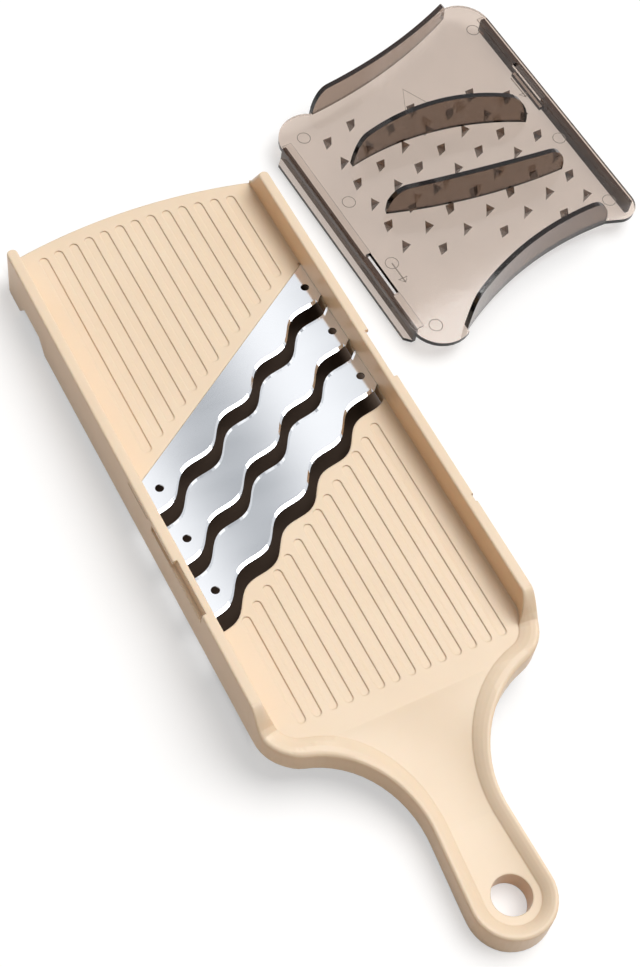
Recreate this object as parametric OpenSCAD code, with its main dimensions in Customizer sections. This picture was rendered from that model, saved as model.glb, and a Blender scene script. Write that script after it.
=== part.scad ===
// Cabbage cutter: a moulded frame with two rails and a drooping handle, three wavy
// blades seated in the rails, and a loose clear holder that grips the cabbage.
// Frame coordinates: X across the table, Y from the handle to the far end, Z up,
// with the table top at z = 0 and the centre of the handle's round end at y = 0.

/* [Frame] */
// Width over the two rails
body_w = 134; // [126:1:146]
// Width of a rail
rail_w = 5.2; // [4.8:0.1:6]
// Height of the rails over the table
rail_h = 14.4; // [12:0.2:18]
// Rounding of the rail edges
rail_edge_r = 0.9; // [0.5:0.1:1.4]
// Depth of the side walls under the table top, at the far corners
wall_drop = 12.8; // [11.6:0.2:14]
// Depth of the side walls at the shoulders
near_drop = 9.2; // [8:0.2:11.4]
// Depth of the end wall under the table top
end_drop = 8.5; // [6:0.5:9.5]
// Thickness of the side and end walls
wall_t = 3; // [2.4:0.1:3.6]
// Thickness of the table
table_t = 3; // [2.4:0.1:3.4]
// Distance from the handle's round end to the crown of the far end
far_y = 373; // [366:1:390]
// Radius of the arched far end
arch_r = 280; // [240:5:400]
// Radius of the far corners in plan
corner_r = 8; // [5:0.5:11]
// How far the left rail's end leans back over its height
rail_rake = 4.4; // [3:0.2:9]
// How far the right rail's end leans back over its height
right_rake = 7.2; // [3:0.2:9]
// Length of the bowl notch's roof in each side wall
notch_l = 17; // [12:0.5:24]
// Run of the sloping ends of the bowl notch
notch_run = 6; // [3:0.5:8]
// Depth of the bowl notch's roof under the table top
notch_d = 5.1; // [4.2:0.1:8]
// Distance of the bowl notch's roof from the far corners
notch_back = 17.5; // [15:0.5:30]
// Height of the ribs beside the blade opening
rib_h = 5; // [3:0.5:7]

/* [Handle] */
// Where the rails start to run down to the handle
rundown_y = 108; // [104:0.5:114]
// Length over which the rails run down
rundown_l = 13; // [11:0.5:15]
// Centre of the shoulder arcs along the frame
shoulder_y = 101.8; // [98:0.2:103]
// Radius of the shoulders
shoulder_r = 19.5; // [15:0.5:22]
// Where the handle starts to fall away from the table
crease_y = 86.7; // [82:0.1:89]
// Radius of the neck
neck_r = 47; // [40:1:52]
// Width of the handle at the neck
neck_w = 34; // [30:1:37]
// Radius of the handle's round end
end_r = 19; // [18.5:0.5:22]
// Width of the crowned rim of the handle
rim_w = 6.5; // [5.5:0.1:7]
// Width of the crowned rim at the shoulders
shoulder_rim_w = 8.5; // [7:0.1:9.5]
// Radius of the rim's outer edge
rim_edge_r = 1.8; // [1:0.1:2.2]
// Height of the rim over the floor of the handle
rim_h = 2.4; // [1.6:0.1:3]
// Depth of the handle's walls at its round end
handle_depth = 12.4; // [10:0.2:13]
// Slope of the handle where it leaves the table
fall_a = 21.4; // [19:0.2:23]
// Drop of the handle's end below the table
handle_drop = 17.8; // [15:0.2:20]
// Distance of the hang hole from the middle of the round end
hang_y = 0.7; // [0:0.1:2]
// Radius of the hang hole
hang_r = 8.75; // [7:0.25:10]
// Wall round the hang hole
hang_wall = 2.5; // [2:0.1:3]

/* [Grooves] */
// Number of grooves on the far table
far_grooves = 13; // [9:1:13]
// Spacing of the far grooves
far_pitch = 8.15; // [6:0.05:8.4]
// Width of the far grooves
far_groove_w = 4.4; // [3:0.1:4.8]
// Number of grooves on the near table
near_grooves = 14; // [9:1:14]
// Spacing of the near grooves
near_pitch = 7.46; // [6:0.02:7.6]
// Width of the near grooves
near_groove_w = 4; // [3:0.1:4.4]
// How far the near grooves lie to the right of the middle
near_groove_x = 1.5; // [0:0.1:2]
// Depth of the grooves
groove_d = 0.45; // [0.3:0.05:1.2]
// Plain band between the far grooves and the edges of the far table
groove_margin = 6.4; // [5:0.2:10]
// Plain band between the near grooves and the blade opening
near_margin = 5; // [4:0.2:10]
// Plain band between the near grooves and the crease of the handle
crease_margin = 10.8; // [8:0.2:14]

/* [Blades] */
// Angle of the blades across the table
blade_a = 33.7; // [28:0.1:36]
// Where the middle line of the far blade's edge crosses the frame
blade_y = 251.3; // [245:0.1:257]
// Spacing of the blades along the frame
blade_pitch = 28; // [26.5:0.1:30]
// Width of the two wavy blades
blade_w = 17.4; // [16:0.1:19]
// Width of the far blade, which has a straight back
far_blade_w = 15.1; // [14:0.1:18]
// Thickness of the blades
blade_t = 0.8; // [0.6:0.05:1.2]
// Height of the cutting edges over the table
blade_rise = 1; // [0.4:0.1:1.6]
// Height of the waves, from the middle line
wave_amp = 2.4; // [1:0.1:2.8]
// Length of a wave along the blade
wave_len = 33; // [28:0.5:40]
// Where a wave starts across the table
wave_x = 10; // [-15:0.5:15]
// Width of the ground bevel
bevel_w = 1.3; // [1:0.1:3]
// Thickness left at the cutting edge
edge_t = 0.12; // [0.05:0.01:0.3]
// Width of the rolled back edge
roll_w = 1.3; // [0.6:0.1:2]
// Unground length at each end of the cutting edge
land_w = 3.6; // [2:0.1:5]
// Width of the slot between the last blade and the near table
near_slot = 6.2; // [5:0.1:7]
// Radius of the locating holes
locate_r = 2; // [1.4:0.1:2.4]
// Distance of the left locating holes from the rail
locate_left = 9.1; // [7:0.1:14]
// Distance of the right locating holes from the rail
locate_right = 4.7; // [4:0.1:10]
// Depth of the blade seats in the rails
seat_d = 1.7; // [1:0.1:2.2]
// Clearance round the blades in their seats
seat_gap = 0.12; // [0.1:0.01:0.2]

/* [Holder] */
// Clearance between the hooks and the rails
ride_gap = 0.5; // [0.3:0.1:1]
// Reach of the hooks
hook_reach = 1.5; // [1:0.1:2]
// Thickness of the skirts
skirt_t = 2.2; // [1.8:0.1:3]
// Height of the skirts
skirt_h = 8; // [7:0.2:10]
// Overhang of the plate past the skirts
plate_lip = 0.8; // [0.4:0.1:1.5]
// Width of the flange along each skirt's foot
flange_w = 3; // [2:0.1:4]
// Thickness of the plate
plate_t = 2.5; // [2:0.1:3]
// Radius of three of the plate's corners
holder_r = 16.5; // [13:0.5:18]
// Radius of the plate's rear right corner
heel_r = 10; // [8:0.5:13]
// Distance from the holder's middle to the front left corner
front_left_y = 47; // [42:0.5:52]
// Distance from the holder's middle to the front right corner
front_right_y = 75.5; // [70:0.5:80]
// Distance from the holder's middle to the rear right corner
rear_right_y = 56; // [50:0.5:60]
// Distance from the holder's middle to the rear left corner
rear_left_y = 72; // [68:0.5:78]
// Radius of the hollow front edge
front_r = 279; // [200:1:400]
// Radius of the hollow rear edge
rear_r = 180; // [140:1:300]
// Thickness of the fins
fin_t = 2.6; // [2:0.1:3.2]
// Height of the front fin at its middle
front_fin_h = 14.6; // [10:0.2:18]
// Height of the rear fin at its middle
rear_fin_h = 19.4; // [14:0.2:22]
// Height of the front grip at its middle
front_grip_h = 22.4; // [18:0.2:28]
// Height of the rear grip at its middle
rear_grip_h = 21; // [18:0.2:28]
// Height of the grips near their ends
grip_end_h = 16.8; // [14:0.2:20]
// Length of the spikes
spike_l = 7.5; // [5:0.1:7.8]
// Radius of a spike's base
spike_r = 3; // [2:0.1:3.4]
// Spacing of the spikes across the holder
spike_pitch_x = 16.75; // [15:0.05:17]
// Spacing of the spikes along the holder
spike_pitch_y = 14.4; // [12:0.1:16]
// How far each column of spikes lies behind the one on its left
spike_step = 2.4; // [0:0.1:4]
// Length of the hooks and of the windows over them
hook_l = 26; // [20:1:30]
// Where the holder lies, across
holder_x = 162.5; // [155:0.5:200]
// Where the holder lies, along
holder_y = 337; // [250:0.5:345]
// Turn of the holder on the surface
holder_turn = 4.1; // [0:0.1:5]

/* [Hidden] */
half_w = body_w / 2;
rail_in = half_w - rail_w;
wall_in = half_w - wall_t;
over = 1;
lap = 0.03;
join_y = rundown_y;
deck_low = wall_drop + 2 * over;
foot_flat = 6;
rest_back = 8;
rest_trim = 0.3;
edge_steps = 4;
rib_t = 2.2;
far_arch = [0, far_y - arch_r];
far_corner_x = half_w - corner_r;
far_corner_y = far_arch.y + sqrt(pow(arch_r - corner_r, 2) - pow(far_corner_x, 2));
far_corner_a = atan2(far_corner_y - far_arch.y, far_corner_x);
rail_end_y = far_arch.y + sqrt(pow(arch_r, 2) - pow(rail_in, 2));
rail_foot_z = 2;
tip_r = rail_w / 2 + 0.2;

// Handle outline: shoulder, neck and round end are tangent arcs
shoulder = [half_w - shoulder_r, shoulder_y];
neck = [neck_w / 2 + neck_r,
        shoulder_y - sqrt(pow(shoulder_r + neck_r, 2) - pow(neck_w / 2 + neck_r - shoulder.x, 2))];
shoulder_a = atan2(neck.y - shoulder.y, neck.x - shoulder.x);
waist_a = atan2(neck.y, neck.x) - acos((end_r + neck_r) / norm(neck));
rim_fillet = 0.35;
crease_a = 180 - asin((crease_y - neck.y) / (neck_r + shoulder_rim_w + rim_fillet));
fall_s = crease_y + end_r;
fall_b = (fall_s * tan(fall_a) - handle_drop) / pow(fall_s, 2);
side_steps = 9;
arc_steps = 10;
crease_steps = 3;
neck_steps = 12;
rim_steps = 3;
crown_a = 80;

// Blades: the far one, the middle one and the near one
blade_cos = cos(blade_a);
blade_tan = tan(blade_a);
blade_end = rail_in + seat_d;
land_x = rail_in - land_w;
land_step = 0.8;
step_gap = 0.05;
roll_d = 0.35;
seam = 0.15;
open_x = rail_in - 0.3;
wave_steps = 72;
locate_v = 6.5;
locate_xs = [-rail_in + locate_left, rail_in - locate_right];

// Rest: the far feet and the handle's end stand on the surface
foot_y = far_corner_y - foot_flat;
rest_low = fall(-rest_back) - drop(-rest_back) + rest_trim;
tilt = atan((-drop(foot_y) - rest_low) / (foot_y + rest_back));
hang_z = fall(hang_y) - table_t / 2;
rest_y = -hang_z * sin(tilt) - hang_y * cos(tilt);
rest_z = -rest_back * sin(tilt) - rest_low * cos(tilt);

// Rail lock cuts: [side, far end, near end, depth, height] of each cut under the lip
lip_t = 2.4;
lock_h = 4;
lock_d = 2;
slit_h = 1;
slit_d = 1.2;
left_lock = [202, 153];
left_entry = [181, 153];
left_slit = [226, 206];
right_lock = [276, 227];
right_entry = [255, 227];
right_nick = [158, 154];

// Holder
skirt_in = half_w + ride_gap + hook_reach;
skirt_out = skirt_in + skirt_t;
plate_x = skirt_out + plate_lip;
corner_x = plate_x - holder_r;
plate_z = skirt_h + plate_t;
skirt_past = 2;
strip_w = 5;
strip_h = 0.5;
window_w = 2.8;
hook_h = 2.2;
flange_t = 2;
left_hook_y = -39.3;
right_hook_y = 30.3;
spike_cols = 7;
spike_rows = 7;
spike_x = 3;
spike_y = 0.2;
sink = 0.3;

// Fins and grips: left and right ends, heights and roundings of the ends, bow of the grips
front_edge = [[8.5 - corner_x, 62.8], [corner_x - 5.5, 88.5]];
front_fin_end = [15.6, 11.8];
front_fin_r = [8, 4];
rear_edge = [[7.5 - corner_x, -85.1], [corner_x - 4.5, -62.6]];
rear_fin_end = [20, 17];
rear_fin_r = [5, 12];
grip_ends = [grip_end_h, grip_end_h];
front_grip = [[-45.8, 22.8], [50.3, 8]];
front_grip_r = [7, 10];
front_bow = 8.3;
rear_grip = [[49.8, -25.5], [-46.5, -9.6]];
rear_grip_r = [8.5, 11];
rear_bow = 3.8;

function mix(a, b, t) = a + (b - a) * t;
function ease(t) = t * t * (3 - 2 * t);
function arc(c, r, a0, a1, n) =
    [for (i = [0:n]) c + r * [cos(mix(a0, a1, i / n)), sin(mix(a0, a1, i / n))]];
function rest(list) = [for (i = [1:len(list) - 1]) list[i]];
function back(list) = [for (i = [len(list) - 1:-1:0]) list[i]];
function flip(list) = [for (i = [len(list) - 1:-1:0]) [-list[i].x, list[i].y]];

// Plan of the deck from y0 to the arched far end, drawn in by inset
function deck_plan(y0, inset) =
    let (corner = arc([far_corner_x, far_corner_y], corner_r - inset, 0, far_corner_a, 6))
    concat([[half_w - inset, y0]], corner,
           rest(arc(far_arch, arch_r - inset, far_corner_a, 180 - far_corner_a, 24)),
           rest(flip(corner)), [[-half_w + inset, y0]]);

// Right half of the section across the frame: rail, side wall and table
function half_section() =
    concat([[rail_in, 0]],
           arc([rail_in + rail_edge_r, rail_h - rail_edge_r], rail_edge_r, 180, 90, edge_steps),
           arc([half_w - rail_edge_r, rail_h - rail_edge_r], rail_edge_r, 90, 0, edge_steps),
           [[half_w, -deck_low], [wall_in, -deck_low], [wall_in, -table_t]]);

// Fall of the handle below the table at y
function fall(y) =
    y >= crease_y ? 0 : pow(crease_y - y, 2) * fall_b - (crease_y - y) * tan(fall_a);

// Depth of the walls at y: along the deck they taper, along the handle they deepen again
function drop(y) =
    y >= shoulder_y ? mix(near_drop, wall_drop, (y - shoulder_y) / (far_corner_y - shoulder_y))
                    : mix(near_drop, handle_depth, (shoulder_y - y) / (shoulder_y + end_r));

// Share of the full rail that is left at y
function rail_share(y) = 1 - ease(max(0, min(1, (rundown_y - y) / rundown_l)));

// Right half of the handle's outline as [point, outward normal, share of the rail,
// share of the shoulder's rim]
function side_outline() =
    [for (i = [0:side_steps])
        let (y = mix(join_y, shoulder_y, i / (side_steps + 1)))
        [[half_w, y], [1, 0], rail_share(y), 1]];
function shoulder_outline() =
    [for (i = [0:arc_steps])
        let (a = shoulder_a * i / arc_steps, n = [cos(a), sin(a)], p = shoulder + shoulder_r * n)
        [p, n, rail_share(p.y), 1]];
function neck_point(a, s) = [neck + neck_r * [cos(a), sin(a)], -[cos(a), sin(a)], 0, s];
function neck_outline() =
    concat([for (i = [1:crease_steps])
               neck_point(mix(shoulder_a + 180, crease_a, i / crease_steps), 1)],
           [for (i = [1:neck_steps])
               neck_point(mix(crease_a, 180 + waist_a, i / neck_steps), 1 - ease(i / neck_steps))]);
function end_outline() =
    [for (i = [0:arc_steps])
        let (a = mix(waist_a, -90, i / arc_steps), n = [cos(a), sin(a)])
        [end_r * n, n, 0, 0]];
function handle_half() =
    concat([[[half_w, join_y + over], [1, 0], 1, 1]],
           side_outline(), shoulder_outline(), neck_outline(), end_outline());
function handle_outline() =
    let (half = handle_half(), n = len(half))
    concat(half, [for (i = [n - 2:-1:0])
        [[-half[i][0].x, half[i][0].y], [-half[i][1].x, half[i][1].y], half[i][2], half[i][3]]]);

// Section through the rim from the handle's floor over the rim to its underside,
// as [distance in from the outline, height], for share b of the full rail, share s of
// the shoulder's rim and walls of depth d. The rim is crowned, the rail is square
function rim_section(b, s, d) =
    let (w = mix(rim_w, shoulder_rim_w, s),
         r = mix(rim_edge_r, rail_edge_r, b),
         h = mix(rim_h, rail_h, b) - lap,
         e = rail_edge_r,
         foot = mix(w + rim_fillet, rail_w, b) - lap)
    concat([[foot, -lap]],
           [for (i = [rim_steps:-1:0])
               let (t = i / rim_steps,
                    crown = [mix(rim_edge_r, w, t), rim_h * cos(crown_a * t)],
                    rail = [rail_w - lap - e + e * sin(90 * t), rail_h - e + e * cos(90 * t)])
               mix(crown, rail, b) - [0, lap]],
           [for (i = [1:rim_steps])
               let (a = 90 * i / rim_steps)
               [lap + r - r * sin(a), h - r + r * cos(a)]],
           [[lap, -d + lap], [wall_t - lap, -d + lap], [wall_t - lap, -table_t + lap]]);

module near_end() {
    path = handle_outline();
    n = len(path);
    rows = [for (e = path) rim_section(e[2], e[3], drop(e[0].y))];
    k = len(rows[0]);
    points = [for (i = [0:n - 1], j = [0:k - 1])
        let (p = path[i][0] - rows[i][j].x * path[i][1])
        [p.x, p.y, rows[i][j].y + fall(p.y)]];
    skin = [for (i = [0:n - 2], j = [0:k - 2], t = [0:1])
        t == 0 ? [i * k + j, i * k + j + 1, (i + 1) * k + j]
               : [i * k + j + 1, (i + 1) * k + j + 1, (i + 1) * k + j]];
    mid = (n - 1) / 2;
    floors = [for (i = [0:mid - 1], t = [0:1])
        if (t == 0 || i < mid - 1)
            t == 0 ? [i * k, (i + 1) * k, (n - 1 - i) * k]
                   : [(i + 1) * k, (n - 2 - i) * k, (n - 1 - i) * k]];
    unders = [for (f = floors) [f[0] + k - 1, f[2] + k - 1, f[1] + k - 1]];
    left = (n - 1) * k;
    under = k - 1;
    cap = concat([for (j = [0:k - 3]) [left + under, left + j, left + j + 1]],
                 [for (j = [0:k - 3]) [under, j + 1, j]],
                 [[left + under, under, 0], [left + under, 0, left]]);
    polyhedron(points, concat(skin, floors, unders, cap));
}

// Points of a round-ended groove along Y
function groove_plan(x, y0, y1, w) =
    concat(arc([x, y1 - w / 2], w / 2, 0, 180, 8), arc([x, y0 + w / 2], w / 2, 180, 360, 8));

module groove(x, y0, y1, w) {
    translate([0, 0, -groove_d])
        linear_extrude(groove_d + over) polygon(groove_plan(x, y0, y1, w));
}

// Wave of the blade edges at x, square to the blade
function wave(x, n = 4) =
    n == 0 ? 0
           : wave_amp * sin(360 * (x - wave_x + sin(blade_a) * wave(x, n - 1)) / (wave_len * blade_cos));

// Line along the blades that lies v from the middle line of blade k's edge
function line_y(x, k, v) = blade_y - k * blade_pitch + x * blade_tan + v / blade_cos;
function wave_y(x, k, v) = line_y(x, k, v + wave(x));

// Height of the blades' upper face at v from the middle line of the edge
function face_z(v) = blade_rise * (1 - v / blade_w);

// Straight back line of the far table and the wavy edge of the near table
far_edge_v = far_blade_w + seam;

module blade_opening() {
    near = [for (i = [wave_steps:-1:0])
        let (x = mix(-open_x, open_x, i / wave_steps))
        [x, wave_y(x, 2, -near_slot)]];
    translate([0, 0, -table_t - over])
        linear_extrude(table_t + 2 * over)
            polygon(concat([[-open_x, line_y(-open_x, 0, far_edge_v)],
                            [open_x, line_y(open_x, 0, far_edge_v)]], near));
}

// Ribs under the table, along both sides of the blade opening
module opening_ribs() {
    for (line = [[0, far_edge_v + rib_t], [2, -near_slot - wave_amp - 2 * rib_t]])
        intersection() {
            translate([0, line_y(0, line[0], line[1]), -table_t - rib_h])
                rotate([0, 0, blade_a])
                    translate([-body_w, 0, 0]) cube([2 * body_w, rib_t, rib_h + table_t / 2]);
            translate([-wall_in - wall_t / 2, 0, -deck_low])
                cube([2 * wall_in + wall_t, far_y, deck_low]);
        }
}

// Seats of blade k in both rails
module blade_seats(k) {
    w = k == 0 ? far_blade_w : blade_w;
    for (side = [-1, 1]) {
        x0 = side * (rail_in - over);
        x1 = side * (blade_end + seat_gap);
        ys = concat([for (x = [x0, x1]) wave_y(x, k, -land_step)],
                    [for (x = [x0, x1]) k == 0 ? line_y(x, k, w) : wave_y(x, k, w)]);
        y0 = min(ys) - seat_gap;
        y1 = max(ys) + seat_gap;
        zs = [for (y = [y0, y1]) for (x = [x0, x1]) face_z((y - line_y(x, k, 0)) * blade_cos)];
        translate([min(x0, x1), 0, 0])
            rotate([90, 0, 90])
                linear_extrude(abs(x1 - x0))
                    polygon([[y0, min(zs[0], zs[1]) - blade_t - seat_gap],
                             [y1, min(zs[2], zs[3]) - blade_t - seat_gap],
                             [y1, max(zs[2], zs[3]) + seat_gap],
                             [y0, max(zs[0], zs[1]) + seat_gap]]);
    }
}

// One cut in a rail's outer face: side, [far, near] along Y, depth, [low, high] height
module rail_cut(side, ys, d, zs) {
    translate([side > 0 ? half_w - d : -half_w - over, ys[1], zs[0]])
        cube([d + over, ys[0] - ys[1], zs[1] - zs[0]]);
}

module rail_locks() {
    lip_z = rail_h - lip_t;
    rail_cut(-1, left_lock, lock_d, [lip_z - lock_h, lip_z]);
    rail_cut(-1, left_entry, lock_d, [lip_z - over, rail_h + over]);
    rail_cut(-1, left_slit, slit_d, [lip_z - slit_h, lip_z]);
    rail_cut(1, right_lock, lock_d, [lip_z - lock_h, lip_z]);
    rail_cut(1, right_entry, lock_d, [lip_z - over, rail_h + over]);
    rail_cut(1, right_nick, slit_d, [lip_z, rail_h + over]);
}

// Prism through both side walls with the outline given as points [y, z]
module across(points) {
    translate([-half_w - over, 0, 0])
        rotate([90, 0, 90]) linear_extrude(body_w + 2 * over) polygon(points);
}

// Space under the tapering side walls, with the bowl notches
module under_walls() {
    y1 = far_corner_y - notch_back;
    y0 = y1 - notch_l;
    far = far_y + over;
    near = join_y - over;
    across([[near, -drop(near)], [y0 - notch_run, -drop(y0 - notch_run)], [y0, -notch_d],
            [y1, -notch_d], [y1 + notch_run, -drop(y1 + notch_run)], [far, -drop(far)],
            [far, -2 * deck_low], [near, -2 * deck_low]]);
}

// Space past the round tip of a rail, which leans back over its height
module rail_end(side) {
    y0 = rail_end_y - tip_r;
    lean = side > 0 ? right_rake : rail_rake;
    tip = arc([half_w - rail_w / 2, y0], tip_r, 0, 180, 8);
    plan = concat([[half_w + over, y0]], tip,
                  [[rail_in - over, y0], [rail_in - over, far_y + over], [half_w + over, far_y + over]]);
    translate([0, rail_end_y, rail_foot_z])
        rotate([atan(lean / (rail_h - rail_foot_z)), 0, 0])
            translate([0, -rail_end_y, 0])
                linear_extrude(2 * rail_h) polygon([for (p = plan) [side * p.x, p.y]]);
}

module deck() {
    section = concat(half_section(), flip(half_section()));
    difference() {
        intersection() {
            translate([0, far_y + over, 0])
                rotate([90, 0, 0]) linear_extrude(far_y + over - join_y) polygon(section);
            translate([0, 0, -deck_low - over])
                linear_extrude(deck_low + rail_h + 2 * over) polygon(deck_plan(0, 0));
        }
        under_walls();
        for (side = [-1, 1]) rail_end(side);
    }
    translate([0, 0, -end_drop])
        linear_extrude(end_drop - table_t / 2)
            difference() {
                polygon(deck_plan(far_corner_y - corner_r, lap));
                polygon(deck_plan(0, wall_t));
            }
}

module frame_form() {
    boss_h = handle_depth + over - table_t / 2;
    difference() {
        union() {
            deck();
            near_end();
            opening_ribs();
            translate([0, hang_y, fall(hang_y) - handle_depth - over])
                cylinder(h = boss_h, r = hang_r + hang_wall, $fn = 64);
        }
        blade_opening();
        for (k = [0:2]) blade_seats(k);
        for (i = [0:far_grooves - 1]) {
            x = (i - (far_grooves - 1) / 2) * far_pitch;
            groove(x, line_y(x, 0, far_edge_v) + groove_margin,
                   far_arch.y + sqrt(pow(arch_r, 2) - x * x) - groove_margin, far_groove_w);
        }
        for (i = [0:near_grooves - 1]) {
            x = near_groove_x + (i - (near_grooves - 1) / 2) * near_pitch;
            groove(x, crease_y + crease_margin,
                   line_y(x, 2, -near_slot) - near_margin, near_groove_w);
        }
        rail_locks();
    }
}

// Moves the frame to its rest on the far feet and the handle's end
module at_rest() {
    translate([0, rest_y, rest_z]) rotate([-tilt, 0, 0]) children();
}

module cutter_body() {
    color("bisque")
        difference() {
            at_rest() frame_form();
            translate([-body_w, -far_y, -far_y]) cube([2 * body_w, 3 * far_y, far_y]);
            translate([0, 0, -over]) cylinder(h = rest_z, r = hang_r, $fn = 96);
        }
}

// Blade k: a strip with a ground wavy edge and either a straight or a wavy back
module blade(k) {
    xs = concat([-blade_end, -land_x - step_gap],
                [for (i = [0:wave_steps]) mix(-land_x, land_x, i / wave_steps)],
                [land_x + step_gap, blade_end]);
    points = [for (x = xs)
        let (land = abs(x) > land_x + step_gap / 2,
             edge_v = wave(x) - (land ? land_step : 0),
             back_v = k == 0 ? far_blade_w : wave(x) + blade_w,
             bevel_v = edge_v + (land ? edge_t : bevel_w),
             roll_v = back_v - (k == 0 ? edge_t : roll_w),
             edge_h = land ? blade_t - edge_t : edge_t,
             roll_h = k == 0 ? edge_t : roll_d)
        each [[x, line_y(x, k, back_v), face_z(back_v) - blade_t],
              [x, line_y(x, k, back_v), face_z(back_v) - roll_h],
              [x, line_y(x, k, roll_v), face_z(roll_v)],
              [x, line_y(x, k, bevel_v), face_z(bevel_v)],
              [x, line_y(x, k, edge_v), face_z(edge_v) - blade_t + edge_h],
              [x, line_y(x, k, edge_v), face_z(edge_v) - blade_t]]];
    n = len(xs);
    skin = [for (i = [0:n - 2], j = [0:5], t = [0:1])
        let (a = i * 6 + j, b = i * 6 + (j + 1) % 6)
        t == 0 ? [a, a + 6, b] : [b, a + 6, b + 6]];
    caps = [[for (j = [0:5]) j], [for (j = [5:-1:0]) (n - 1) * 6 + j]];
    difference() {
        polyhedron(points, concat(skin, caps));
        for (x = locate_xs)
            translate([x, line_y(x, k, locate_v), -blade_t - over])
                cylinder(h = blade_rise + blade_t + 2 * over, r = locate_r, $fn = 48);
    }
}

module blade_far() { color("silver") at_rest() blade(0); }
module blade_middle() { color("silver") at_rest() blade(1); }
module blade_near() { color("silver") at_rest() blade(2); }

function angle_of(v) = atan2(v.y, v.x);

front_left = [-corner_x, front_left_y];
front_right = [corner_x, front_right_y];
rear_right = [plate_x - heel_r, -rear_right_y];
rear_left = [-corner_x, -rear_left_y];
heel_a = -105;

// Arc of radius r from p0 to p1 that bows to the left of its way, then moved out by t
function bow(p0, p1, r, t) =
    let (half = norm(p1 - p0) / 2,
         d = (p1 - p0) / norm(p1 - p0),
         c = (p0 + p1) / 2 - [-d.y, d.x] * sqrt(r * r - half * half))
    arc(c, r + t, angle_of(p0 - c), angle_of(p1 - c), 24);

// Plan of a curved fin: the strip between two such arcs
function bow_plan(p0, p1, r, t0, t1) = concat(bow(p0, p1, r, t0), back(bow(p0, p1, r, t1)));

function holder_plan() =
    concat(arc(rear_right, heel_r, heel_a, 0, 10),
           arc(front_right, holder_r, 0, acos((front_edge[1].x - front_right.x) / holder_r), 10),
           bow(front_edge[1], front_edge[0], front_r, 0),
           arc(front_left, holder_r, acos((front_edge[0].x - front_left.x) / holder_r), 180, 10),
           arc(rear_left, holder_r, 180, 360 - acos((rear_edge[0].x - rear_left.x) / holder_r), 10),
           bow(rear_edge[0], rear_edge[1], rear_r, 0));

// Side view of a fin between two ends: height h at the middle and heights he at the ends,
// which are rounded over the lengths r
function fin_side(x0, x1, h, he, r) =
    let (steps = 32, crown = h - (he[0] + he[1]) / 2)
    concat([[x1, -sink], [x0, -sink]],
           [for (i = [0:steps])
               let (t = (1 - cos(180 * i / steps)) / 2,
                    x = mix(x0, x1, t),
                    e0 = x - x0 < r[0] ? sqrt(1 - pow(1 - (x - x0) / r[0], 2)) : 1,
                    e1 = x1 - x < r[1] ? sqrt(1 - pow(1 - (x1 - x) / r[1], 2)) : 1)
               [x, (mix(he[0], he[1], t) + crown * 4 * t * (1 - t)) * e0 * e1]]);

module fin(plan, side) {
    translate([0, 0, plate_z])
        intersection() {
            translate([0, 0, -over]) linear_extrude(2 * front_grip_h) polygon(plan);
            translate([0, 2 * plate_x, 0])
                rotate([90, 0, 0]) linear_extrude(4 * plate_x) polygon(side);
        }
}

// Plan of a grip from p0 to p1 with rise s of its middle and thickness t outward
function grip_plan(p0, p1, s, t) =
    let (half = norm(p1 - p0) / 2)
    bow_plan(p0, p1, (half * half + s * s) / (2 * s), 0, t);

module holder_side(side, y0, y1, hook_y) {
    x0 = side > 0 ? skirt_in : -skirt_out;
    translate([x0, y0, 0]) cube([skirt_t, y1 - y0, skirt_h + sink]);
    translate([0, 0, 0])
        linear_extrude(flange_t)
            polygon([[side * (skirt_out - sink), y0], [side * skirt_out, y0],
                     [side * (skirt_out + flange_w), y0 + flange_w],
                     [side * (skirt_out + flange_w), y1 - flange_w],
                     [side * skirt_out, y1], [side * (skirt_out - sink), y1]]);
    translate([side > 0 ? skirt_in - hook_reach : -skirt_in - sink, hook_y - hook_l / 2, 0])
        cube([hook_reach + sink, hook_l, hook_h]);
    translate([side > 0 ? skirt_out - strip_w : -skirt_out, y0, plate_z - sink])
        cube([strip_w, y1 - y0, strip_h + sink]);
}

module window(side, hook_y) {
    translate([side > 0 ? skirt_in - window_w : -skirt_in, hook_y - hook_l / 2, skirt_h - over])
        cube([window_w, hook_l, plate_t + strip_h + 2 * over]);
}

module spikes() {
    for (i = [0:spike_cols - 1], j = [0:spike_rows - 1]) {
        odd = i % 2;
        col = i - (spike_cols - 1) / 2;
        x = spike_x + col * spike_pitch_x;
        y = spike_y - col * spike_step + (j - (spike_rows - 1) / 2 + (1 - odd) / 2) * spike_pitch_y;
        if (odd == 1 || j < spike_rows - 1)
            translate([x, y, skirt_h + sink])
                rotate([180, 0, 90 + 60 * ((i + j) % 2)])
                    cylinder(h = spike_l + sink, r1 = spike_r, r2 = 0, $fn = 3);
    }
}

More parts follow.
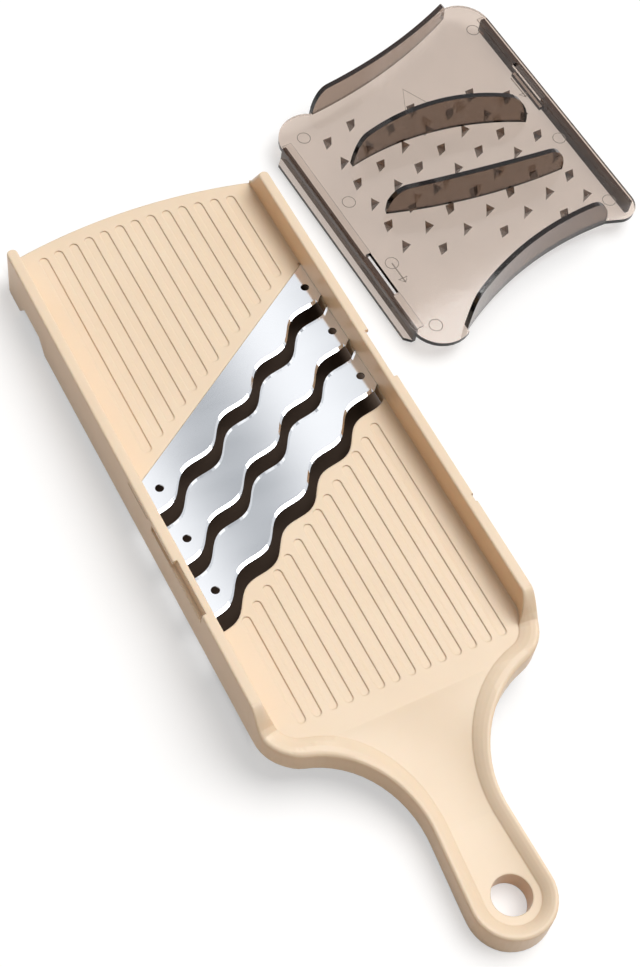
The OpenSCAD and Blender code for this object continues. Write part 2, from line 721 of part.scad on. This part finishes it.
module safety_holder() {
    color("sienna", 0.6)
        translate([holder_x, holder_y, 0])
            rotate([0, 0, holder_turn]) {
                difference() {
                    union() {
                        translate([0, 0, skirt_h]) linear_extrude(plate_t) polygon(holder_plan());
                        holder_side(-1, -rear_left_y - skirt_past, front_left_y + skirt_past, left_hook_y);
                        holder_side(1, -rear_right_y - skirt_past, front_right_y + skirt_past, right_hook_y);
                        fin(bow_plan(front_edge[1], front_edge[0], front_r, lap, fin_t),
                            fin_side(front_edge[0].x, front_edge[1].x, front_fin_h, front_fin_end,
                                     front_fin_r));
                        fin(bow_plan(rear_edge[0], rear_edge[1], rear_r, lap, fin_t),
                            fin_side(rear_edge[0].x, rear_edge[1].x, rear_fin_h, rear_fin_end,
                                     rear_fin_r));
                        fin(grip_plan(front_grip[0], front_grip[1], front_bow, fin_t),
                            fin_side(front_grip[0].x, front_grip[1].x, front_grip_h, grip_ends,
                                     front_grip_r));
                        fin(grip_plan(rear_grip[0], rear_grip[1], rear_bow, -fin_t),
                            fin_side(rear_grip[1].x, rear_grip[0].x, rear_grip_h, grip_ends,
                                     rear_grip_r));
                        spikes();
                    }
                    window(-1, left_hook_y);
                    window(1, right_hook_y);
                }
            }
}

cutter_body();
blade_far();
blade_middle();
blade_near();
safety_holder();
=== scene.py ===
import math

import bmesh
import bpy
from mathutils import Matrix, Vector


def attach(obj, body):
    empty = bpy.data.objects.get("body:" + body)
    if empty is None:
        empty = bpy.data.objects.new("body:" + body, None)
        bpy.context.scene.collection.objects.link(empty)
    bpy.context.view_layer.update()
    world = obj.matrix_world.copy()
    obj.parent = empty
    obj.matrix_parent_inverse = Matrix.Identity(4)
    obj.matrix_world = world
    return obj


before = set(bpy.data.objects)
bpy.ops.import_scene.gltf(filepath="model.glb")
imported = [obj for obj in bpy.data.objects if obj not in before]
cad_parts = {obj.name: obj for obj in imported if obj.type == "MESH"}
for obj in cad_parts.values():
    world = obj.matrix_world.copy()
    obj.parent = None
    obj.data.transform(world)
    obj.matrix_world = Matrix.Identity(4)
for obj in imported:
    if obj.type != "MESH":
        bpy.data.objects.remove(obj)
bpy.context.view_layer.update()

MM = 0.001
WHITE = (1.0, 1.0, 1.0)


# Node helpers

# Where the values of a noise mostly lie, so that two colours set there mix evenly
MOTTLE = (0.30, 0.70)
# The colour sockets of a Mix node
MIX_A, MIX_B, MIX_OUT = 6, 7, 2


def new_material(name):
    """A material with an empty node tree and a Principled shader on its output."""
    material = bpy.data.materials.new(name)
    material.use_nodes = True
    tree = material.node_tree
    tree.nodes.clear()
    output = tree.nodes.new("ShaderNodeOutputMaterial")
    shader = tree.nodes.new("ShaderNodeBsdfPrincipled")
    tree.links.new(shader.outputs["BSDF"], output.inputs["Surface"])
    return material, tree, shader, output


def node(tree, kind, **inputs):
    """A node with some of its inputs set by name."""
    made = tree.nodes.new(kind)
    for key, value in inputs.items():
        made.inputs[key.replace("_", " ")].default_value = value
    return made


def ramp(tree, source, stops, blend="LINEAR"):
    """A colour ramp over source, with stops of (place, colour)."""
    made = tree.nodes.new("ShaderNodeValToRGB")
    made.color_ramp.interpolation = blend
    elements = made.color_ramp.elements
    while len(elements) < len(stops):
        elements.new(0.5)
    for element, (place, colour) in zip(elements, stops):
        element.position = place
        element.color = (*colour, 1.0)
    tree.links.new(source, made.inputs["Fac"])
    return made.outputs["Color"]


def mottle(tree, source, colours):
    """Two near colours, mixed by a noise."""
    return ramp(tree, source, list(zip(MOTTLE, colours)))


def object_point(tree):
    """The point on the surface, in metres."""
    return tree.nodes.new("ShaderNodeTexCoord").outputs["Object"]


def parts(tree, vector):
    """The x, y and z of a vector."""
    made = tree.nodes.new("ShaderNodeSeparateXYZ")
    tree.links.new(vector, made.inputs[0])
    return made.outputs


def noise(tree, vector, scale, detail=3.0):
    """Soft noise from 0 to 1, with about scale features to a metre."""
    made = node(tree, "ShaderNodeTexNoise", Scale=scale, Detail=detail)
    tree.links.new(vector, made.inputs["Vector"])
    return made.outputs["Fac"]


def bump(tree, height, strength, distance, under=None):
    """A bump over the surface, or over another normal, as a normal."""
    made = node(tree, "ShaderNodeBump", Strength=strength, Distance=distance)
    tree.links.new(height, made.inputs["Height"])
    if under:
        tree.links.new(under, made.inputs["Normal"])
    return made.outputs["Normal"]


def map_range(tree, source, low, high, to_low=0.0, to_high=1.0, blend="LINEAR"):
    """Source from low to high, mapped from to_low to to_high and held there beyond."""
    made = node(tree, "ShaderNodeMapRange", From_Min=low, From_Max=high, To_Min=to_low, To_Max=to_high)
    made.interpolation_type = blend
    tree.links.new(source, made.inputs["Value"])
    return made.outputs["Result"]


def uneven(tree, point, scale, bounds):
    """A value that wanders between two bounds over the surface."""
    return map_range(tree, noise(tree, point, scale), 0.0, 1.0, *bounds)


def math_node(tree, operation, *terms):
    """One Math node over terms, each a socket or a number."""
    made = tree.nodes.new("ShaderNodeMath")
    made.operation = operation
    for socket, term in zip(made.inputs, terms):
        if isinstance(term, float):
            socket.default_value = term
        else:
            tree.links.new(term, socket)
    return made.outputs[0]


def beyond(tree, source, half, edge):
    """0 near the middle, rising over a soft edge to 1 at half and outside it."""
    return map_range(tree, math_node(tree, "ABSOLUTE", source), half - edge, half, blend="SMOOTHSTEP")


def shade_by_slope(tree, upright, level, slopes):
    """One colour on upright faces and another on level ones, blended over a range of slopes; the upright
    colour is painted shade.
    """
    normal = tree.nodes.new("ShaderNodeTexCoord").outputs["Normal"]
    share = map_range(tree, math_node(tree, "ABSOLUTE", parts(tree, normal)["Z"]), *slopes)
    mixed = tree.nodes.new("ShaderNodeMix")
    mixed.data_type = "RGBA"
    tree.links.new(share, mixed.inputs["Factor"])
    tree.links.new(upright, mixed.inputs[MIX_A])
    tree.links.new(level, mixed.inputs[MIX_B])
    return mixed.outputs[MIX_OUT]


# Cream plastic of the cutter

CREAM_TOP = ((0.82, 0.66, 0.49), (0.845, 0.69, 0.52))
# Painted shade: a darker, warmer colour on upright faces, blended in from the level faces' colour over
# CREAM_SLOPES
CREAM_PAINTED_SHADE = ((0.79, 0.55, 0.34), (0.815, 0.58, 0.37))
CREAM_SLOPES = (0.1, 0.8)
CREAM_CLOUDS = 28.0
CREAM_CLOUD_DETAIL = 4.0
CREAM_ROUGHNESS = (0.27, 0.35)
CREAM_PATCHES = 90.0
CREAM_SPECULAR = 0.28
CREAM_GLOW = 0.1
CREAM_GLOW_R = (4 * MM, 2 * MM, 1 * MM)
CREAM_SKIN = 900.0
CREAM_SKIN_DETAIL = 2.0
CREAM_SKIN_BUMP = 0.04
CREAM_SKIN_DEPTH = 0.2 * MM
# Rounding of the edges, in shading alone
EDGE_R = 1.0 * MM
EDGE_SAMPLES = 6
# The handle's hollow: half its width, where it starts, where it is full, and its depth
DISH_HALF = 34 * MM
DISH_START = 88 * MM
DISH_FULL = 50 * MM
DISH_DEPTH = 9 * MM


def dish(tree, point):
    """The height of the handle's hollow: 0 on its middle line, 1 at its rims, level on the table."""
    place = parts(tree, point)
    across = math_node(tree, "DIVIDE", place["X"], DISH_HALF)
    bowl = math_node(tree, "MINIMUM", math_node(tree, "MULTIPLY", across, across), 1.0)
    share = map_range(tree, place["Y"], DISH_START, DISH_FULL, blend="SMOOTHSTEP")
    return math_node(tree, "MULTIPLY", bowl, share)


def cream_plastic():
    """Semi-gloss moulded plastic with a faint cloudiness, a fine moulded skin, and painted shade on its
    upright faces.
    """
    material, tree, shader, _ = new_material("cream_plastic")
    point = object_point(tree)
    cloud = noise(tree, point, CREAM_CLOUDS, CREAM_CLOUD_DETAIL)
    top = mottle(tree, cloud, CREAM_TOP)
    # The upright faces' colour, which is painted shade
    side = mottle(tree, cloud, CREAM_PAINTED_SHADE)
    tree.links.new(shade_by_slope(tree, side, top, CREAM_SLOPES), shader.inputs["Base Color"])
    tree.links.new(uneven(tree, point, CREAM_PATCHES, CREAM_ROUGHNESS), shader.inputs["Roughness"])
    shader.inputs["Specular IOR Level"].default_value = CREAM_SPECULAR
    shader.inputs["Subsurface Weight"].default_value = CREAM_GLOW
    shader.inputs["Subsurface Scale"].default_value = 1.0
    shader.inputs["Subsurface Radius"].default_value = CREAM_GLOW_R
    rounded = node(tree, "ShaderNodeBevel", Radius=EDGE_R)
    rounded.samples = EDGE_SAMPLES
    hollow = bump(tree, dish(tree, point), 1.0, DISH_DEPTH, rounded.outputs["Normal"])
    grain = noise(tree, point, CREAM_SKIN, CREAM_SKIN_DETAIL)
    skin = bump(tree, grain, CREAM_SKIN_BUMP, CREAM_SKIN_DEPTH, hollow)
    tree.links.new(skin, shader.inputs["Normal"])
    return material


# Steel of the blades

STEEL_COLOURS = ((0.86, 0.87, 0.885), (0.90, 0.91, 0.925))
STEEL_ROUGHNESS = (0.09, 0.12)
STEEL_BUMP = 0.03
STEEL_DEPTH = 0.2 * MM
GRAIN_TURN = math.radians(-33.7)
GRAIN_SCALE = (15.0, 60.0, 15.0)


def blade_steel():
    """Bright polished stainless strip with a slight unevenness along its length."""
    material, tree, shader, _ = new_material("blade_steel")
    mapping = tree.nodes.new("ShaderNodeMapping")
    mapping.inputs["Rotation"].default_value = (0.0, 0.0, GRAIN_TURN)
    mapping.inputs["Scale"].default_value = GRAIN_SCALE
    tree.links.new(object_point(tree), mapping.inputs["Vector"])
    grain = noise(tree, mapping.outputs["Vector"], 1.0)
    tree.links.new(mottle(tree, grain, STEEL_COLOURS), shader.inputs["Base Color"])
    tree.links.new(map_range(tree, grain, 0.0, 1.0, *STEEL_ROUGHNESS), shader.inputs["Roughness"])
    shader.inputs["Metallic"].default_value = 1.0
    tree.links.new(bump(tree, grain, STEEL_BUMP, STEEL_DEPTH), shader.inputs["Normal"])
    return material


# Clear plastic of the holder

PLATE_TOP = 10.5 * MM
# The painted shade of upright faces changes from the rims' to the fins' over this height above the plate
PAINTED_SHADE_RISE = 0.5 * MM
PLATE_TINTS = ((0.93, 0.92, 0.91), (0.98, 0.97, 0.96))
FIN_PAINTED_SHADE = (0.46, 0.40, 0.36)
RIM_PAINTED_SHADE = (0.12, 0.10, 0.09)
SMOKE_SLOPES = (0.1, 0.4)
SMOKE_CLOUDS = 35.0
SMOKE_ROUGHNESS = (0.03, 0.08)
SMOKE_PATCHES = 60.0
SMOKE_SKIN = 240.0
SMOKE_SKIN_DETAIL = 2.0
SMOKE_BUMP = 0.03
SMOKE_DEPTH = 0.3 * MM
SMOKE_COLOUR = (0.61, 0.51, 0.43, 1.0)
SMOKE_DENSITY = 540.0
PLASTIC_IOR = 1.49
# Painted shade: the dark colour of the raised lines
MARK_PAINTED_SHADE = ((0.20, 0.16, 0.13), (0.30, 0.25, 0.21))
MARK_CLOUDS = 120.0
MARK_ROUGHNESS = (0.15, 0.30)
MARK_PATCHES = 200.0


def smoke_plastic():
    """Clear smoke-brown plastic, with painted shade that makes its rims, fins and spikes darker."""
    material, tree, shader, output = new_material("smoke_plastic")
    point = object_point(tree)
    above = map_range(tree, parts(tree, point)["Z"], PLATE_TOP, PLATE_TOP + PAINTED_SHADE_RISE)
    # Painted shade on upright faces: very dark on the rims below the plate's top, dark on the fins and
    # spikes above it
    upright = ramp(tree, above, [(0.0, RIM_PAINTED_SHADE), (1.0, FIN_PAINTED_SHADE)])
    flat = mottle(tree, noise(tree, point, SMOKE_CLOUDS), PLATE_TINTS)
    tree.links.new(shade_by_slope(tree, upright, flat, SMOKE_SLOPES), shader.inputs["Base Color"])
    tree.links.new(uneven(tree, point, SMOKE_PATCHES, SMOKE_ROUGHNESS), shader.inputs["Roughness"])
    shader.inputs["IOR"].default_value = PLASTIC_IOR
    shader.inputs["Transmission Weight"].default_value = 1.0
    skin = noise(tree, point, SMOKE_SKIN, SMOKE_SKIN_DETAIL)
    tree.links.new(bump(tree, skin, SMOKE_BUMP, SMOKE_DEPTH), shader.inputs["Normal"])
    absorb = node(tree, "ShaderNodeVolumeAbsorption", Color=SMOKE_COLOUR, Density=SMOKE_DENSITY)
    tree.links.new(absorb.outputs["Volume"], output.inputs["Volume"])
    return material


def painted_shade_marks():
    """The holder's plastic on its raised lines, with the shade they catch painted in as a dark colour."""
    material, tree, shader, _ = new_material("painted_shade_marks")
    point = object_point(tree)
    colour = mottle(tree, noise(tree, point, MARK_CLOUDS), MARK_PAINTED_SHADE)
    tree.links.new(colour, shader.inputs["Base Color"])
    tree.links.new(uneven(tree, point, MARK_PATCHES, MARK_ROUGHNESS), shader.inputs["Roughness"])
    shader.inputs["IOR"].default_value = PLASTIC_IOR
    return material


# Carried-over solids, with the angle in degrees over which an edge stays sharp

MOULDED_CREASE = 28
BLADE_CREASE = 14


def dress(name, material, crease):
    """Gives a carried-over solid its material and shades its curves smooth up to a crease angle."""
    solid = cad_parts[name]
    solid.data.materials.clear()
    solid.data.materials.append(material)
    for face in solid.data.polygons:
        face.use_smooth = True
    split = solid.modifiers.new("edges", "EDGE_SPLIT")
    split.split_angle = math.radians(crease)


# Moulded marks on the holder's plate

# Where the holder's own frame lies on the plate
HOLDER_AT = Vector((162.5 * MM, 337.0 * MM, PLATE_TOP))
HOLDER_TURN = math.radians(4.1)
# The marks in that frame, in millimetres
PIN_RING_R = 3.3
PIN_RINGS = [
    (-58.5, 49.2),
    (-59.3, 4.9),
    (-60.0, -36.0),
    (-60.6, -76.2),
    (60.3, 72.4),
    (60.0, -8.3),
    (60.1, -52.6),
]
RING_SIDES = 40
# Where each arrow starts, and its length
ARROWS = [(-60.0, -36.0, 12.5), (60.0, 36.0, 14.0)]
ARROW_HEAD_L = 2.6
ARROW_HEAD_W = 5.0
FRONT_SIGN = [(4.3, 54.3), (-2.2, 41.5), (10.8, 41.5)]
MARK_W = 0.4
ARROW_W = 0.7
MARK_H = 0.15


def strip(lines, path, closed, width=MARK_W):
    """Adds a low raised line along a path, MARK_H high and with slanted sides."""
    count = len(path)
    rows = []
    for k in range(count):
        before = Vector(path[k - 1] if closed or k > 0 else path[k])
        after = Vector(path[(k + 1) % count] if closed or k < count - 1 else path[k])
        along = (after - before).normalized()
        side = Vector((-along.y, along.x)) * width / 2
        at = Vector(path[k])
        section = [(at + side, 0.0), (at + side / 2, MARK_H), (at - side / 2, MARK_H), (at - side, 0.0)]
        rows.append([lines.verts.new((p.x, p.y, z)) for p, z in section])
    for k in range(count if closed else count - 1):
        a, b = rows[k], rows[(k + 1) % count]
        for j in range(4):
            lines.faces.new((a[j], b[j], b[(j + 1) % 4], a[(j + 1) % 4]))
    if not closed:
        lines.faces.new(rows[0])
        lines.faces.new(rows[-1][::-1])


def finish_mark(name, lines, material):
    """Turns the lines into a piece that lies on the plate and goes with the holder."""
    bmesh.ops.recalc_face_normals(lines, faces=lines.faces)
    mesh = bpy.data.meshes.new(name)
    lines.to_mesh(mesh)
    lines.free()
    turn = Matrix.Rotation(HOLDER_TURN, 4, "Z")
    mesh.transform(Matrix.Translation(HOLDER_AT) @ turn @ Matrix.Scale(MM, 4))
    piece = bpy.data.objects.new(name, mesh)
    piece.data.materials.append(material)
    bpy.context.scene.collection.objects.link(piece)
    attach(piece, "holder")


def make_marks(material):
    """The pins' rings, the arrows along the slide and the sign at the front."""
    rings = bmesh.new()
    angles = [2 * math.pi * k / RING_SIDES for k in range(RING_SIDES)]
    for x, y in PIN_RINGS:
        strip(rings, [(x + PIN_RING_R * math.cos(a), y + PIN_RING_R * math.sin(a)) for a in angles], True)
    finish_mark("pin_rings", rings, material)
    arrows = bmesh.new()
    for x, y, length in ARROWS:
        tip = (x, y - length)
        strip(arrows, [(x, y), tip], False, ARROW_W)
        barb = y - length + ARROW_HEAD_L
        strip(arrows, [(x - ARROW_HEAD_W / 2, barb), tip, (x + ARROW_HEAD_W / 2, barb)], True, ARROW_W)
    finish_mark("slide_arrows", arrows, material)
    sign = bmesh.new()
    strip(sign, FRONT_SIGN, True)
    finish_mark("front_sign", sign, material)


# Floor, white to the eye, with its middle under the cutter's table

FLOOR_SIZE = 6.0
FLOOR_AT = (0.006, 0.240, -0.0002)
OPEN_FLOOR = (0.57, 0.565, 0.56)
# What the eye sees added to the lit floor, directly and through the holder
FLOOR_LIFT = 0.475
LIFT_TINT = (0.97, 0.985, 1.0)
THROUGH_LIFT = 0.85
# A shadow painted on the floor under the table, which its slots show: its colour, half its size and its
# soft edge, across and along
PAINTED_SHADOW = (0.09, 0.065, 0.05)
PAINTED_SHADOW_HALF = (0.073, 0.140)
PAINTED_SHADOW_EDGE = (0.014, 0.050)


def floor_white():
    """White paper that is lifted to white for the eye, but darker and not lifted in a shadow painted
    under the table.
    """
    material, tree, shader, output = new_material("floor_white")
    shader.inputs["Roughness"].default_value = 1.0
    shader.inputs["Specular IOR Level"].default_value = 0.0
    place = parts(tree, object_point(tree))
    outside = [beyond(tree, place[k], PAINTED_SHADOW_HALF[k], PAINTED_SHADOW_EDGE[k]) for k in range(2)]
    outside_painted_shadow = math_node(tree, "MAXIMUM", *outside)
    colour = ramp(tree, outside_painted_shadow, [(0.0, PAINTED_SHADOW), (1.0, OPEN_FLOOR)])
    tree.links.new(colour, shader.inputs["Base Color"])
    path = tree.nodes.new("ShaderNodeLightPath")
    seen = math_node(tree, "MAXIMUM", path.outputs["Is Camera Ray"], path.outputs["Is Glossy Ray"])
    direct = math_node(tree, "MULTIPLY", seen, FLOOR_LIFT)
    through = math_node(tree, "MULTIPLY", path.outputs["Is Transmission Ray"], THROUGH_LIFT)
    # The painted shadow holds the lift off as well
    lift = math_node(tree, "MULTIPLY", math_node(tree, "MAXIMUM", direct, through), outside_painted_shadow)
    tint = ramp(tree, path.outputs["Is Transmission Ray"], [(0.0, LIFT_TINT), (1.0, WHITE)])
    glow = tree.nodes.new("ShaderNodeEmission")
    tree.links.new(tint, glow.inputs["Color"])
    tree.links.new(lift, glow.inputs["Strength"])
    both = tree.nodes.new("ShaderNodeAddShader")
    tree.links.new(shader.outputs[0], both.inputs[0])
    tree.links.new(glow.outputs[0], both.inputs[1])
    tree.links.new(both.outputs[0], output.inputs["Surface"])
    return material


def make_floor():
    """A pale floor with a painted shadow under the table, which isn't part of the object."""
    bpy.ops.mesh.primitive_plane_add(size=FLOOR_SIZE, location=FLOOR_AT)
    floor = bpy.context.object
    floor.name = "floor"
    floor.data.materials.append(floor_white())


# Light

WORLD_LEVEL = 0.32
ROOM = (1.0, 0.93, 0.86)
SUN_FROM = Vector((0.44, 0.06, 0.89))
SUN_SPREAD = math.radians(45)
SUN_LEVEL = 2.5
WHITE_PANEL = (1.20, 1.21, 1.23)
DIM_PANEL = (0.74, 0.76, 0.79)
PANEL_GAP = (0.38, 0.40, 0.43)
# The panels follow each other in this direction, each colour at its place from -1 to 1
PANEL_ACROSS = (0.963, -0.049, -0.263)
PANELS = [
    (-0.2006, DIM_PANEL),
    (-0.1101, WHITE_PANEL),
    (-0.0607, WHITE_PANEL),
    (-0.0280, PANEL_GAP),
    (-0.0031, PANEL_GAP),
    (0.0268, WHITE_PANEL),
    (0.0430, WHITE_PANEL),
    (0.0650, DIM_PANEL),
]


def panels(tree):
    """The studio that gloss shows: two white panels, a soft dark gap between them, and dim sides."""
    across = node(tree, "ShaderNodeVectorMath")
    across.operation = "DOT_PRODUCT"
    across.inputs[1].default_value = PANEL_ACROSS
    tree.links.new(tree.nodes.new("ShaderNodeTexCoord").outputs["Generated"], across.inputs[0])
    first, last = PANELS[0][0], PANELS[-1][0]
    share = map_range(tree, across.outputs["Value"], first, last)
    stops = [((place - first) / (last - first), colour) for place, colour in PANELS]
    return ramp(tree, share, stops, "EASE")


def make_world():
    """White all round for the eye, soft panels for gloss, and a soft room light."""
    world = bpy.data.worlds.new("studio")
    bpy.context.scene.world = world
    world.use_nodes = True
    tree = world.node_tree
    tree.nodes.clear()
    output = tree.nodes.new("ShaderNodeOutputWorld")
    path = tree.nodes.new("ShaderNodeLightPath")
    room = tree.nodes.new("ShaderNodeBackground")
    colour = ramp(tree, path.outputs["Is Camera Ray"], [(0.0, ROOM), (1.0, WHITE)])
    tree.links.new(colour, room.inputs["Color"])
    level = map_range(tree, path.outputs["Is Camera Ray"], 0.0, 1.0, WORLD_LEVEL, 1.0)
    tree.links.new(level, room.inputs["Strength"])
    gloss = tree.nodes.new("ShaderNodeBackground")
    tree.links.new(panels(tree), gloss.inputs["Color"])
    either = tree.nodes.new("ShaderNodeMixShader")
    tree.links.new(path.outputs["Is Glossy Ray"], either.inputs["Fac"])
    tree.links.new(room.outputs[0], either.inputs[1])
    tree.links.new(gloss.outputs[0], either.inputs[2])
    tree.links.new(either.outputs[0], output.inputs["Surface"])


def make_sun():
    """One wide soft light from the right and above."""
    sun = bpy.data.lights.new("key", "SUN")
    sun.energy = SUN_LEVEL
    sun.angle = SUN_SPREAD
    made = bpy.data.objects.new("key", sun)
    made.location = SUN_FROM
    made.rotation_euler = (-SUN_FROM).to_track_quat("-Z", "Y").to_euler()
    bpy.context.scene.collection.objects.link(made)


# Camera, at the photograph's viewing angle

VIEW_AZ = math.radians(-38.823)
VIEW_EL = math.radians(59.624)
VIEW_ROLL = math.radians(-13.251)
VIEW_AT = Vector((-253.24, -133.64, 745.10)) * MM
FOCAL_PX = 1896.0
IMAGE_LONG_PX = 967.0
SENSOR_MM = 36.0
CLIP_START = 10 * MM


def make_camera():
    """A camera that looks along its azimuth and elevation, then rolls."""
    level = math.cos(VIEW_EL)
    back = Vector((math.sin(VIEW_AZ) * level, -math.cos(VIEW_AZ) * level, math.sin(VIEW_EL)))
    right = (-back).cross(Vector((0, 0, 1))).normalized()
    up = back.cross(right)
    turned_right = right * math.cos(VIEW_ROLL) - up * math.sin(VIEW_ROLL)
    turned_up = up * math.cos(VIEW_ROLL) + right * math.sin(VIEW_ROLL)
    turn = Matrix((turned_right, turned_up, back)).transposed().to_4x4()
    camera = bpy.data.cameras.new("camera")
    camera.sensor_fit = "AUTO"
    camera.sensor_width = SENSOR_MM
    camera.lens = SENSOR_MM * FOCAL_PX / IMAGE_LONG_PX
    camera.clip_start = CLIP_START
    made = bpy.data.objects.new("camera", camera)
    made.matrix_world = Matrix.Translation(VIEW_AT) @ turn
    bpy.context.scene.collection.objects.link(made)
    bpy.context.scene.camera = made


# The dressed object and its studio

dress("cutter_body", cream_plastic(), MOULDED_CREASE)
STEEL = blade_steel()
for blade in ("blade_far", "blade_middle", "blade_near"):
    dress(blade, STEEL, BLADE_CREASE)
dress("safety_holder", smoke_plastic(), MOULDED_CREASE)
make_marks(painted_shade_marks())
make_floor()
make_world()
make_sun()
make_camera()
bpy.context.scene.view_settings.view_transform = "Standard"
